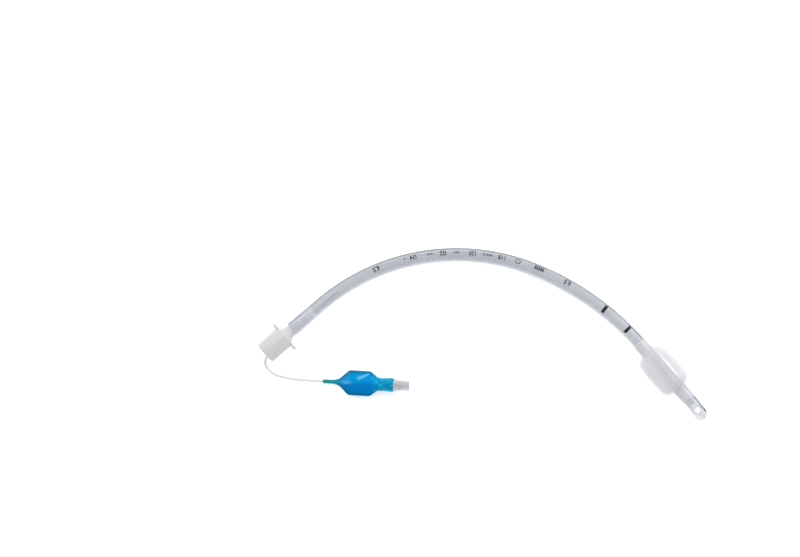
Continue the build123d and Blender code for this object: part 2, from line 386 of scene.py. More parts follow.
def clear_vinyl(colour):
    """Plasticised PVC, extruded: clear but a little milky, a cool grey with fine die lines and gloss."""
    material = new_material("clear plasticised PVC, extruded")
    place = add_node(material, "ShaderNodeAttribute", attribute_name="along_tube")
    # Die lines are about 1 mm wide and run on for centimetres
    lines_place = add_node(
        material, "ShaderNodeMapping", {"Vector": place.outputs["Vector"], "Scale": (1, 1, 0.02)})
    lines = add_node(
        material, "ShaderNodeTexNoise", {"Vector": lines_place.outputs[0], "Scale": 700.0, "Detail": 3.0})
    tint = add_node(
        material, "ShaderNodeMix",
        {0: lines.outputs["Fac"], 6: linear(colour), 7: linear("#C9CED5")}, data_type="RGBA")
    # Over the spigot the wall is painted paler: painted light, standing in for the light that comes
    # through the spigot and the wall
    parts = add_node(material, "ShaderNodeSeparateXYZ", {"Vector": place.outputs["Vector"]})
    stretched = add_node(
        material, "ShaderNodeMapRange",
        {"Value": parts.outputs["Z"], "From Min": 0.041, "From Max": 0.045, "To Min": 0.8, "To Max": 0.0})
    paler = add_node(
        material, "ShaderNodeMix",
        {0: stretched.outputs[0], 6: tint.outputs[2], 7: linear("#DCE1EA")}, data_type="RGBA")
    veil = add_node(
        material, "ShaderNodeMapRange",
        {"Value": lines.outputs["Fac"], "From Min": 0.3, "From Max": 0.7, "To Min": 0.5, "To Max": 0.42})
    bump = add_node(
        material, "ShaderNodeBump",
        {"Height": lines.outputs["Fac"], "Strength": 0.25, "Distance": 0.0001})
    shader = add_node(
        material, "ShaderNodeBsdfPrincipled",
        {
            "Base Color": paler.outputs[2], "Roughness": 0.16, "IOR": 1.53, "Alpha": veil.outputs[0],
            "Transmission Weight": 0.25, "Normal": bump.outputs["Normal"],
        })
    add_node(material, "ShaderNodeOutputMaterial", {"Surface": shader.outputs[0]})
    return material


def strand_vinyl(colour):
    """Barium-filled PVC, co-extruded in the wall: opaque and matt, a dark blue-grey with a grain."""
    material = new_material("barium-filled PVC, co-extruded")
    place = add_node(material, "ShaderNodeTexCoord")
    # The filler's grain is far finer, and is drawn 0.5 mm coarse so that it shows
    grain = add_node(material, "ShaderNodeTexNoise", {"Vector": place.outputs["Object"], "Scale": 2000.0})
    tint = add_node(
        material, "ShaderNodeMix",
        {0: grain.outputs["Fac"], 6: linear(colour), 7: linear("#2C3B58")}, data_type="RGBA")
    shader = add_node(
        material, "ShaderNodeBsdfPrincipled",
        {"Base Color": tint.outputs[2], "Roughness": 0.5, "IOR": 1.53})
    add_node(material, "ShaderNodeOutputMaterial", {"Surface": shader.outputs[0]})
    return material


def cuff_film(colour):
    """PVC film, blow moulded: thin and milky lilac, with fine gathers that run from collar to collar."""
    material = new_material("PVC film, blow moulded")
    place = add_node(material, "ShaderNodeAttribute", attribute_name="along_cuff")
    # Gathers stand 2 to 4 mm apart around the cuff and run most of its length
    gathers_place = add_node(
        material, "ShaderNodeMapping", {"Vector": place.outputs["Vector"], "Scale": (1, 1, 0.12)})
    gathers = add_node(
        material, "ShaderNodeTexNoise",
        {"Vector": gathers_place.outputs[0], "Scale": 260.0, "Detail": 2.0})
    haze = add_node(
        material, "ShaderNodeMapRange",
        {
            "Value": gathers.outputs["Fac"], "From Min": 0.3, "From Max": 0.7, "To Min": 0.62,
            "To Max": 0.7,
        })
    tint = add_node(
        material, "ShaderNodeMix",
        {0: gathers.outputs["Fac"], 6: linear(colour), 7: linear("#E0DFE5")}, data_type="RGBA")
    bump = add_node(
        material, "ShaderNodeBump",
        {"Height": gathers.outputs["Fac"], "Strength": 0.3, "Distance": 0.0004})
    shader = add_node(
        material, "ShaderNodeBsdfPrincipled",
        {
            "Base Color": tint.outputs[2], "Roughness": 0.24, "IOR": 1.53, "Alpha": haze.outputs[0],
            "Normal": bump.outputs["Normal"],
        })
    add_node(material, "ShaderNodeOutputMaterial", {"Surface": shader.outputs[0]})
    return material


def natural_polypropylene(colour):
    """Polypropylene, injection moulded, natural: milky, with light that spreads inside the wall."""
    material = new_material("natural polypropylene, injection moulded")
    place = add_node(material, "ShaderNodeTexCoord")
    # Flow clouds in the milky plastic are a few millimetres across
    cloud = add_node(
        material, "ShaderNodeTexNoise",
        {"Vector": place.outputs["Object"], "Scale": 180.0, "Detail": 2.0, "Distortion": 1.5})
    tint = add_node(
        material, "ShaderNodeMix",
        {0: cloud.outputs["Fac"], 6: linear(colour), 7: linear("#CDCCCD")}, data_type="RGBA")
    # The mould's spark-eroded grain, drawn 0.25 mm coarse
    grain = add_node(material, "ShaderNodeTexNoise", {"Vector": place.outputs["Object"], "Scale": 4000.0})
    bump = add_node(
        material, "ShaderNodeBump",
        {"Height": grain.outputs["Fac"], "Strength": 0.12, "Distance": 0.00005})
    shader = add_node(
        material, "ShaderNodeBsdfPrincipled",
        {
            "Base Color": tint.outputs[2], "Roughness": 0.42, "IOR": 1.49, "Subsurface Weight": 0.5,
            "Subsurface Radius": (1.0, 1.0, 1.0), "Subsurface Scale": 0.0015,
            "Normal": bump.outputs["Normal"],
        })
    add_node(material, "ShaderNodeOutputMaterial", {"Surface": shader.outputs[0]})
    return material


def line_vinyl(colour):
    """PVC, extruded as a fine line: cloudy, with a soft gloss."""
    material = new_material("PVC line, extruded")
    place = add_node(material, "ShaderNodeTexCoord")
    # Cloudy patches are about 3 mm long
    cloud = add_node(material, "ShaderNodeTexNoise", {"Vector": place.outputs["Object"], "Scale": 300.0})
    tint = add_node(
        material, "ShaderNodeMix",
        {0: cloud.outputs["Fac"], 6: linear(colour), 7: linear("#E0E1E2")}, data_type="RGBA")
    shader = add_node(
        material, "ShaderNodeBsdfPrincipled",
        {
            "Base Color": tint.outputs[2], "Roughness": 0.22, "IOR": 1.53, "Alpha": 0.9,
            "Subsurface Weight": 0.3, "Subsurface Radius": (1.0, 1.0, 1.0), "Subsurface Scale": 0.0008,
        })
    add_node(material, "ShaderNodeOutputMaterial", {"Surface": shader.outputs[0]})
    return material


def blue_film(colour):
    """Tinted PVC film, welded at its rim: glossy deep blue, greener over the line and the valve, with
    painted highlights and a painted lighter side.
    """
    material = new_material("blue PVC film, welded")
    place = add_node(material, "ShaderNodeAttribute", attribute_name="on_film")
    parts = add_node(material, "ShaderNodeSeparateXYZ", {"Vector": place.outputs["Vector"]})
    # Clouds of about 4 by 11 mm along the balloon, where the film lies nearer to its back or further off
    stretched = add_node(
        material, "ShaderNodeMapping", {"Vector": place.outputs["Vector"], "Scale": (0.35, 1, 1)})
    cloud = add_node(
        material, "ShaderNodeTexNoise",
        {"Vector": stretched.outputs[0], "Scale": 260.0, "Detail": 2.0, "Distortion": 0.6})
    # Towards +y the clouds are painted lighter: painted light on the side that faces the lamps
    side = add_node(
        material, "ShaderNodeMapRange",
        {"Value": parts.outputs["Y"], "From Min": -0.0015, "From Max": 0.0035})
    clouds_and_painted_light = add_node(
        material, "ShaderNodeMath", {0: cloud.outputs["Fac"], 1: side.outputs[0]}, operation="MULTIPLY")
    pouch = add_node(
        material, "ShaderNodeMix",
        {0: clouds_and_painted_light.outputs[0], 6: linear(colour), 7: linear("#02A2DC")}, data_type="RGBA")
    in_sleeve = add_node(
        material, "ShaderNodeMapRange",
        {"Value": parts.outputs["X"], "From Min": 0.004, "From Max": 0.015, "To Min": 1.0, "To Max": 0.0})
    with_sleeve = add_node(
        material, "ShaderNodeMix",
        {0: in_sleeve.outputs[0], 6: pouch.outputs[2], 7: linear("#238C86")}, data_type="RGBA")
    # On the neck the film sticks to the valve in wet-looking patches of about 2 mm, and the pale cyan
    # patches are also painted highlights
    cling_and_painted_highlight_patches = add_node(
        material, "ShaderNodeTexNoise",
        {"Vector": stretched.outputs[0], "Scale": 420.0, "Detail": 2.0, "Distortion": 0.6})
    clings_and_painted_highlights = add_node(
        material, "ShaderNodeMapRange",
        {"Value": cling_and_painted_highlight_patches.outputs["Fac"], "From Min": 0.44, "From Max": 0.62})
    neck = add_node(
        material, "ShaderNodeMix",
        {0: clings_and_painted_highlights.outputs[0], 6: linear("#0783AE"), 7: linear("#1FA8D2")}, data_type="RGBA")
    in_neck = add_node(
        material, "ShaderNodeMapRange",
        {"Value": parts.outputs["X"], "From Min": 0.033, "From Max": 0.039})
    with_neck = add_node(
        material, "ShaderNodeMix",
        {0: in_neck.outputs[0], 6: with_sleeve.outputs[2], 7: neck.outputs[2]}, data_type="RGBA")
    # The weld at the rim is darker, up to 1.3 mm from the balloon's middle plane
    height = add_node(material, "ShaderNodeMath", {0: parts.outputs["Z"]}, operation="ABSOLUTE")
    at_weld = add_node(
        material, "ShaderNodeMapRange",
        {
            "Value": height.outputs[0], "From Min": 0.0002, "From Max": 0.0013, "To Min": 0.8,
            "To Max": 0.0,
        })
    with_weld = add_node(
        material, "ShaderNodeMix",
        {0: at_weld.outputs[0], 6: with_neck.outputs[2], 7: linear("#0A5F80")}, data_type="RGBA")
    # Painted highlights: on its fold and along its crease, where the film stands off its back, it is
    # painted paler
    painted_highlight = add_node(material, "ShaderNodeAttribute", attribute_name="painted_highlight")
    with_painted_highlight = add_node(
        material, "ShaderNodeMix",
        {0: painted_highlight.outputs["Fac"], 6: with_weld.outputs[2], 7: linear("#7CCBEF")}, data_type="RGBA")
    bump = add_node(
        material, "ShaderNodeBump",
        {"Height": cloud.outputs["Fac"], "Strength": 0.35, "Distance": 0.0006})
    shader = add_node(
        material, "ShaderNodeBsdfPrincipled",
        {
            "Base Color": with_painted_highlight.outputs[2], "Roughness": 0.22, "IOR": 1.53,
            "Specular IOR Level": 0.03, "Normal": bump.outputs["Normal"],
        })
    add_node(material, "ShaderNodeOutputMaterial", {"Surface": shader.outputs[0]})
    return material


def clear_styrene():
    """Styrene acrylonitrile, injection moulded: hard, clear and glossy, a little grey."""
    material = new_material("clear SAN, injection moulded")
    place = add_node(material, "ShaderNodeTexCoord")
    # Flow streaks from the gate, 2 to 3 mm wide
    flow = add_node(
        material, "ShaderNodeTexNoise",
        {"Vector": place.outputs["Object"], "Scale": 400.0, "Detail": 2.0, "Distortion": 1.2})
    tint = add_node(
        material, "ShaderNodeMix",
        {0: flow.outputs["Fac"], 6: linear("#D0D0D6"), 7: linear("#E2E2E7")}, data_type="RGBA")
    bump = add_node(
        material, "ShaderNodeBump",
        {"Height": flow.outputs["Fac"], "Strength": 0.15, "Distance": 0.0002})
    shader = add_node(
        material, "ShaderNodeBsdfPrincipled",
        {
            "Base Color": tint.outputs[2], "Roughness": 0.14, "IOR": 1.57, "Alpha": 0.66,
            "Transmission Weight": 0.4, "Normal": bump.outputs["Normal"],
        })
    add_node(material, "ShaderNodeOutputMaterial", {"Surface": shader.outputs[0]})
    return material


def white_acetal():
    """Acetal, injection moulded: opaque white with a waxy sheen."""
    material = new_material("white acetal, injection moulded")
    place = add_node(material, "ShaderNodeTexCoord")
    # Waxy flow clouds about 2 mm across
    cloud = add_node(material, "ShaderNodeTexNoise", {"Vector": place.outputs["Object"], "Scale": 500.0})
    tint = add_node(
        material, "ShaderNodeMix",
        {0: cloud.outputs["Fac"], 6: linear("#E2E4E1"), 7: linear("#F2F3F1")}, data_type="RGBA")
    sheen = add_node(
        material, "ShaderNodeMapRange", {"Value": cloud.outputs["Fac"], "To Min": 0.28, "To Max": 0.42})
    shader = add_node(
        material, "ShaderNodeBsdfPrincipled",
        {"Base Color": tint.outputs[2], "Roughness": sheen.outputs[0], "IOR": 1.48})
    add_node(material, "ShaderNodeOutputMaterial", {"Surface": shader.outputs[0]})
    return material


def spring_steel():
    """Stainless steel wire, drawn and coiled: bright, with uneven gloss from fine scratches."""
    material = new_material("stainless steel, drawn wire")
    place = add_node(material, "ShaderNodeTexCoord")
    # Drawing leaves scratches finer than the wire, here drawn 0.2 mm coarse
    scratches = add_node(
        material, "ShaderNodeTexNoise",
        {"Vector": place.outputs["Object"], "Scale": 6000.0, "Detail": 3.0})
    gloss = add_node(
        material, "ShaderNodeMapRange",
        {"Value": scratches.outputs["Fac"], "To Min": 0.18, "To Max": 0.36})
    shader = add_node(
        material, "ShaderNodeBsdfPrincipled",
        {"Base Color": linear("#C9CCD0"), "Metallic": 1.0, "Roughness": gloss.outputs[0]})
    add_node(material, "ShaderNodeOutputMaterial", {"Surface": shader.outputs[0]})
    return material


def print_ink(colour):
    """Pad-printed ink: a thin black film with a soft gloss, paler in specks."""
    material = new_material("black ink, pad printed")
    place = add_node(material, "ShaderNodeTexCoord")
    # The pad lays the ink a little thinner in specks of 0.3 mm
    specks = add_node(
        material, "ShaderNodeTexNoise", {"Vector": place.outputs["Object"], "Scale": 3000.0})
    thin = add_node(
        material, "ShaderNodeMapRange",
        {"Value": specks.outputs["Fac"], "From Min": 0.55, "From Max": 0.8, "To Max": 0.5})
    tint = add_node(
        material, "ShaderNodeMix",
        {0: thin.outputs[0], 6: linear(colour), 7: linear("#2A2C35")}, data_type="RGBA")
    shader = add_node(
        material, "ShaderNodeBsdfPrincipled",
        {"Base Color": tint.outputs[2], "Roughness": 0.45, "IOR": 1.5, "Specular IOR Level": 0.25})
    add_node(material, "ShaderNodeOutputMaterial", {"Surface": shader.outputs[0]})
    return material


# Pieces


class BuildTube(bpy.types.Operator):
    """Builds the clear tube, with its flared end, bevel and eye."""

    bl_idname = "tracheal.tube"
    bl_label = "Clear tube"

    def execute(self, context):
        sizes = context.scene.tube_sizes
        end = tube_length(sizes)
        lead = station(sizes, TUBE_START)
        bm = bmesh.new()
        # Each wall's (distance, radius) where it is stretched over the spigot
        outside = ((TUBE_START, 4.95 * MM), (SPIGOT_END, 4.6 * MM), (FLARE_END, 4.45 * MM))
        inside = ((TUBE_START, 3.85 * MM), (SPIGOT_END, 3.42 * MM), (42.5 * MM, 3.25 * MM))
        for wall in (outside, inside):
            outer_faces = set(bm.faces)
            (s, r), *steps = wall
            ring = ring_of(bm, r, station(sizes, s))
            for next_s, next_r in steps:
                grown = station(sizes, next_s) @ Matrix.Scale(next_r / r, 4)
                ring = next_ring(bm, ring, grown @ station(sizes, s).inverted())
                s, r = next_s, next_r
            sweep_ring(bm, sizes, ring, s, end)
        # The inner wall faces the bore before the two walls are joined
        bmesh.ops.reverse_faces(bm, faces=[f for f in bm.faces if f not in outer_faces])
        # The bevel faces up, and its lowest point is the far end of the tube
        tip = station(sizes, end)
        low = tip.translation - Vector((0, 0, sizes.diameter / 2))
        slant = tip.to_3x3().col[2] * sizes.diameter + Vector((0, 0, sizes.bevel_length))
        bmesh.ops.bisect_plane(
            bm, geom=bm.verts[:] + bm.edges[:] + bm.faces[:], plane_co=low, plane_no=slant,
            clear_outer=True)
        start_rim = []
        tip_rim = []
        for edge in bm.edges:
            if edge.is_boundary:
                middle = (edge.verts[0].co + edge.verts[1].co) / 2
                ahead = (middle - lead.translation).dot(lead.to_3x3().col[2])
                rim = start_rim if ahead < 1 * MM else tip_rim
                rim.append(edge)
        for rim in (start_rim, tip_rim):
            bmesh.ops.bridge_loops(bm, edges=rim)
        # Both rims are polished round
        bmesh.ops.bevel(
            bm, geom=start_rim + tip_rim, offset=0.16 * MM, segments=2, profile=0.5, affect="EDGES",
            material=-1)
        bmesh.ops.recalc_face_normals(bm, faces=bm.faces)
        # The eye is an oval hole in the wall under the bevel
        eye = bmesh.new()
        under_wall = station(sizes, end - EYE_BACK) @ Matrix.Translation((0, -sizes.diameter / 2, 0))
        oval = Matrix.Diagonal((EYE_HALF_WIDTH, EYE_HALF_LENGTH, 1, 1))
        bmesh.ops.create_cone(
            eye, cap_ends=True, segments=48, radius1=1.0, radius2=1.0, depth=sizes.diameter,
            matrix=under_wall @ Matrix.Rotation(pi / 2, 4, "X") @ oval)
        bm = combine(bm, eye, "DIFFERENCE")
        made = piece(
            "tube", bm, clear_vinyl(context.scene.finishes.tube), "clear_tube", "main_tube",
            matrix=rest_plane(sizes))
        lie_flat = rest_plane(sizes).inverted()
        straight_place = unbend(sizes)
        keep_places(made, "along_tube", lambda point: straight_place(lie_flat @ point))
        return {"FINISHED"}


class BuildStrand(bpy.types.Operator):
    """Builds the line in the tube's wall that shows on an X-ray."""

    bl_idname = "tracheal.strand"
    bl_label = "X-ray strand"

    def execute(self, context):
        sizes = context.scene.tube_sizes
        bm = bmesh.new()
        # The flared end carries the strand further out than the rest of the wall does
        flared = station(sizes, TUBE_START + 0.1 * MM) @ Matrix.Translation((4.4 * MM, 0, 0))
        plain = station(sizes, FLARE_END) @ Matrix.Translation((wall_middle(sizes), 0, 0))
        oval = Matrix.Diagonal((0.42 * MM, 0.55 * MM, 1, 1))
        first = ring_of(bm, 1.0, flared @ oval, segments=12)
        second = next_ring(bm, first, plain @ flared.inverted())
        last = sweep_ring(bm, sizes, second, FLARE_END, tube_length(sizes) - STRAND_BACK)
        for loop in (first, last):
            bmesh.ops.edgeloop_fill(bm, edges=[e for e in loop if e.is_valid])
        bmesh.ops.recalc_face_normals(bm, faces=bm.faces)
        piece(
            "xray_strand", bm, strand_vinyl(context.scene.finishes.strand), "xray_line", "xray_line",
            matrix=rest_plane(sizes))
        return {"FINISHED"}


class BuildCuff(bpy.types.Operator):
    """Builds the inflated cuff and its two collars."""

    bl_idname = "tracheal.cuff"
    bl_label = "Cuff"

    def execute(self, context):
        sizes = context.scene.tube_sizes
        # Half section of the film from collar to collar, as (distance, radius) in millimetres
        profile = [
            (0, 4.46), (0.3, 4.75), (8.4, 4.78), (9.0, 5.3), (9.5, 6.6), (10.5, 8.3), (12.0, 9.7),
            (14.2, 10.4), (19.0, 10.85), (25.4, 11.1), (31.4, 11.05), (35.8, 10.8), (38.0, 10.1),
            (39.3, 8.7), (40.3, 6.9), (40.9, 5.4), (41.4, 4.8), (50.7, 4.75), (51.0, 4.46),
        ]
        on_axis = rest_plane(sizes) @ station(sizes, cuff_start(sizes))
        made = piece(
            "cuff_film", turned(profile, 48, closed=False), cuff_film(context.scene.finishes.film),
            "cuff_film", "cuff", matrix=on_axis, sharp=pi)
        from_axis = on_axis.inverted()
        keep_places(made, "along_cuff", lambda point: from_axis @ point)
        smooth = made.modifiers.new("Smooth", "SUBSURF")
        smooth.levels = 2
        smooth.render_levels = 2
        return {"FINISHED"}


class BuildConnector(bpy.types.Operator):
    """Builds the connector with its cone, grips and spigot."""

    bl_idname = "tracheal.connector"
    bl_label = "Connector"

    def execute(self, context):
        sizes = context.scene.tube_sizes
        # Half section, as (distance from the machine end, radius) in millimetres, around the wall
        section = (
            (0, 7.52), (17.6, 7.74), (18.7, 6.0), (21.0, 4.4), (24.7, 3.85), (40.7, 3.4), (41.0, 3.2),
            (41.0, 2.9), (20.2, 2.9), (17.0, 4.7), (13.0, 5.95), (0, 6.1),
        )
        bm = turned(section, 96, closed=True)
        # The rims of the mouth and the shoulder, but not the spigot's end
        rims = [
            e for e in bm.edges
            if e.calc_face_angle(0) > radians(30) and hypot(e.verts[0].co.x, e.verts[0].co.y) > 6 * MM
        ]
        self.round_edges(bm, rims, offset=0.35 * MM, segments=3)
        # Two tabs to grip stand out from the shoulder, in the plane of the arch
        for turn in (0, pi):
            bm = combine(bm, self.tab(turn), "UNION")
        piece(
            "connector_body", bm, natural_polypropylene(context.scene.finishes.connector), "connector",
            "connector", matrix=rest_plane(sizes) @ station(sizes, 0.0))
        return {"FINISHED"}

    def tab(self, turn):
        """A tab with a rounded end and soft rims, turned around the connector's axis."""
        # It reaches from inside the cone's wall to its outer end, and stands across the shoulder
        inner, outer, width, thickness = 5.4 * MM, 11.35 * MM, 7.0 * MM, 1.9 * MM
        shoulder = 17.3 * MM
        slack = 0.01 * MM
        middle = Matrix.Translation(((inner + outer) / 2, 0, shoulder))
        tab = bmesh.new()
        bmesh.ops.create_cube(
            tab, size=1.0, matrix=middle @ Matrix.Diagonal((outer - inner, width, thickness, 1)))
        corners = [
            e for e in tab.edges
            if all(v.co.x > outer - slack for v in e.verts)
            and abs(e.verts[0].co.z - e.verts[1].co.z) > thickness / 2
        ]
        self.round_edges(tab, corners, offset=2.4 * MM, segments=10)
        rims = [
            e for e in tab.edges
            if e.calc_face_angle(0) > radians(60) and any(v.co.x > inner + slack for v in e.verts)
        ]
        self.round_edges(tab, rims, offset=0.45 * MM, segments=3)
        bmesh.ops.rotate(tab, cent=(0, 0, 0), matrix=Matrix.Rotation(turn, 3, "Z"), verts=tab.verts)
        bmesh.ops.recalc_face_normals(tab, faces=tab.faces)
        return tab

    def round_edges(self, bm, edges, offset, segments):
        """Gives some edges a round of a few faces."""
        bmesh.ops.bevel(
            bm, geom=edges, offset=offset, segments=segments, profile=0.5, affect="EDGES", material=-1)


def pilot_frame():
    """The pilot balloon's own frame at its tail: x along its axis, y sideways and z up."""
    turn, rise = radians(-3.1), radians(4.6)
    along = Vector((cos(rise) * cos(turn), cos(rise) * sin(turn), sin(rise)))
    up = (Vector((0, 0, 1)) - along * along.z).normalized()
    matrix = Matrix((along, up.cross(along), up)).transposed().to_4x4()
    matrix.translation = Vector((-107.3, -31.7, 1.3)) * MM
    return matrix


class BuildInflationLine(bpy.types.Operator):
    """Builds the fine line from the tube's wall to the pilot balloon."""

    bl_idname = "tracheal.line"
    bl_label = "Inflation line"

    def execute(self, context):
        sizes = context.scene.tube_sizes
        # Height of the line's axis where it lies on the floor, in millimetres
        low = 0.81
        leaves = rest_plane(sizes) @ (station(sizes, LINE_LEAVES) @ Vector((0, -wall_middle(sizes), 0)))
        tail = pilot_frame()
        route = [
            leaves,
            *(Vector(p) * MM for p in (
                (-105.2, 22.1, low), (-116.7, 12.5, low), (-131.3, -0.6, low), (-140.4, -9.5, low),
                (-146.5, -16.2, low), (-146.4, -22.0, low), (-140.7, -27.1, low), (-130.9, -30.0, low),
            )),
            tail @ Vector((-6.0 * MM, 0, 0)),
            tail @ Vector((5.0 * MM, 0, 0)),
        ]
        curve = bpy.data.curves.new("inflation_line", "CURVE")
        curve.dimensions = "3D"
        curve.bevel_depth = LINE_RADIUS
        curve.bevel_resolution = 4
        curve.resolution_u = 16
        curve.use_fill_caps = True
        spline = curve.splines.new("NURBS")
        spline.points.add(len(route) - 1)
        for point, place in zip(spline.points, route):
            point.co = (*place, 1)
        spline.order_u = 3
        spline.use_endpoint_u = True
        curve.materials.append(line_vinyl(context.scene.finishes.line))
        made = put_in_scene("inflation_line_free", curve)
        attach(made, SET)
        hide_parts("inflation_line")
        return {"FINISHED"}


class BuildPilotBalloon(bpy.types.Operator):
    """Builds the flat blue pouch with its sleeve and its neck."""

    bl_idname = "tracheal.pilot"
    bl_label = "Pilot balloon"

    def execute(self, context):
        # Each outline is (distance from the tail, value), in millimetres where it is a size
        length = 47.6
        neck = ((37.0, 4.4), (44.0, 4.4), (45.2, 4.7), (46.6, 4.7), (length, 4.4))
        half_width = ((0, 1.25), (7.4, 1.3), (10.9, 2.3), (17.3, 8.4), (31.9, 8.4), *neck)
        half_height = ((0, 1.25), (7.6, 1.3), (11.0, 1.55), (17.5, 2.3), (31.9, 2.4), *neck)
        flatness = ((0, 0), (7.6, 0), (13.0, 1), (31.9, 1), (37.4, 0), (length, 0))
        crease = ((0, 0), (8.0, 0), (13.0, 1), (20.0, 0.5), (30.0, 0), (length, 0))
        bm = bmesh.new()
        ring = ring_of(bm, 1 * MM, Matrix.Rotation(pi / 2, 4, "Y"), segments=96)
        first = ring
        rings = [{v for e in ring for v in e.verts}]
        for _ in range(96):
            ring = next_ring(bm, ring, Matrix.Identity(4))
            rings.append({v for e in ring for v in e.verts})
        for i, verts in enumerate(rings):
            t = length * i / (len(rings) - 1)
            outlines = (half_width, half_height, flatness, crease)
            width, height, flat, fold = [self.at(outline, t) for outline in outlines]
            for v in verts:
                side, rise = v.co.y / MM, v.co.z / MM
                lens = abs(rise) ** (1 + flat) / (1 + flat * fold * abs(side))
                relief = flat * abs(rise) * self.relief(t, width * side) if rise > 0 else 0
                v.co = Vector((t, width * side, copysign(height * lens, rise) + relief)) * MM
        for loop in (first, ring):
            bmesh.ops.edgeloop_fill(bm, edges=[e for e in loop if e.is_boundary])
        bmesh.ops.recalc_face_normals(bm, faces=bm.faces)
        made = piece(
            "pilot_pouch", bm, blue_film(context.scene.finishes.pouch), "pilot_balloon", "pilot_balloon",
            matrix=pilot_frame(), sharp=radians(60))
        to_film = pilot_frame().inverted()
        keep_places(made, "on_film", lambda point: to_film @ point)
        # A painted highlight for each vertex of the film's upper face, on the fold and on the crease
        painted_highlight = made.data.attributes.new("painted_highlight", "FLOAT", "POINT")
        for vertex, value in zip(made.data.vertices, painted_highlight.data):
            t, side, rise = (to_film @ vertex.co) / MM
            # The painted highlight along the crease from the sleeve is brightest 15.5 mm from the tail
            painted_crease_highlight = 0.45 * exp(-((t - 15.5) / 3.2) ** 2 - (side / 0.9) ** 2)
            value.value = (0.65 * self.fold(t, side) + painted_crease_highlight) if rise > 0.2 else 0
        return {"FINISHED"}

    def at(self, outline, t):
        """The value of an outline at distance t, with its corners rounded over 1.6 mm."""
        values = []
        for near in (t - 0.8, t - 0.4, t, t + 0.4, t + 0.8):
            (a, low), (b, high) = next(
                (pair for pair in zip(outline, outline[1:]) if near <= pair[1][0]), outline[-2:])
            values.append(low + (high - low) * min(1, max(0, near - a) / (b - a)))
        return sum(values) / len(values)

    def relief(self, t, side):
        """Height of the film's puckers and its one slanting fold, in millimetres."""
        # Puckers stand 2.3 mm apart where the pouch narrows to its sleeve and to its neck
        puckers = exp(-((t - 14.0) / 2.6) ** 2) + exp(-((t - 34.0) / 2.2) ** 2)
        return 0.06 * puckers * cos(2 * pi * side / 2.3) + 0.3 * self.fold(t, side)

    def fold(self, t, side):
        """How near a point is to the slanting fold: 1 on it, and 0 away from it."""
        (ta, sa), (tb, sb) = FOLD_ENDS
        along = ((t - ta) * (tb - ta) + (side - sa) * (sb - sa)) / ((tb - ta) ** 2 + (sb - sa) ** 2)
        along = min(1, max(0, along))
        off = hypot(t - ta - along * (tb - ta), side - sa - along * (sb - sa))
        # It narrows from 0.9 mm to 0.5 mm
        return exp(-(off / (0.9 - 0.4 * along)) ** 2)


class BuildValve(bpy.types.Operator):
    """Builds the valve's housing, poppet, spring and retainer as smooth copies of their solids."""

    bl_idname = "tracheal.valve"
    bl_label = "Valve"

    def execute(self, context):
        white = white_acetal()
        self.smooth_copy("housing", clear_styrene(), SET)
        self.smooth_copy("poppet", white, STEM)
        self.smooth_copy("retainer", white, SET)
        spring = self.smooth_copy("spring", spring_steel(), SET)
        # The spring stands on the retainer. Its places along the balloon's axis are read here but not
        # used, and the spring gets a mesh of its own
        to_balloon = pilot_frame().inverted()
        spots = [(to_balloon @ v.co).x for v in spring.data.vertices]
        pilot_frame().col[0].xyz
        pilot_frame() @ Vector((min(spots), 0, 0))
        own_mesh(spring)
        return {"FINISHED"}

    def smooth_copy(self, name, material, body):
        """A merged and smooth copy of one of the valve's solids."""
        solid = nodes["valve_" + name]
        bm = bmesh.new()
        bm.from_mesh(solid.data)
        bmesh.ops.transform(bm, matrix=solid.matrix_world, verts=bm.verts)
        bmesh.ops.remove_doubles(bm, verts=bm.verts, dist=0.0005 * MM)
        return piece(name, bm, material, "valve_" + name, "valve_" + name, body=body)


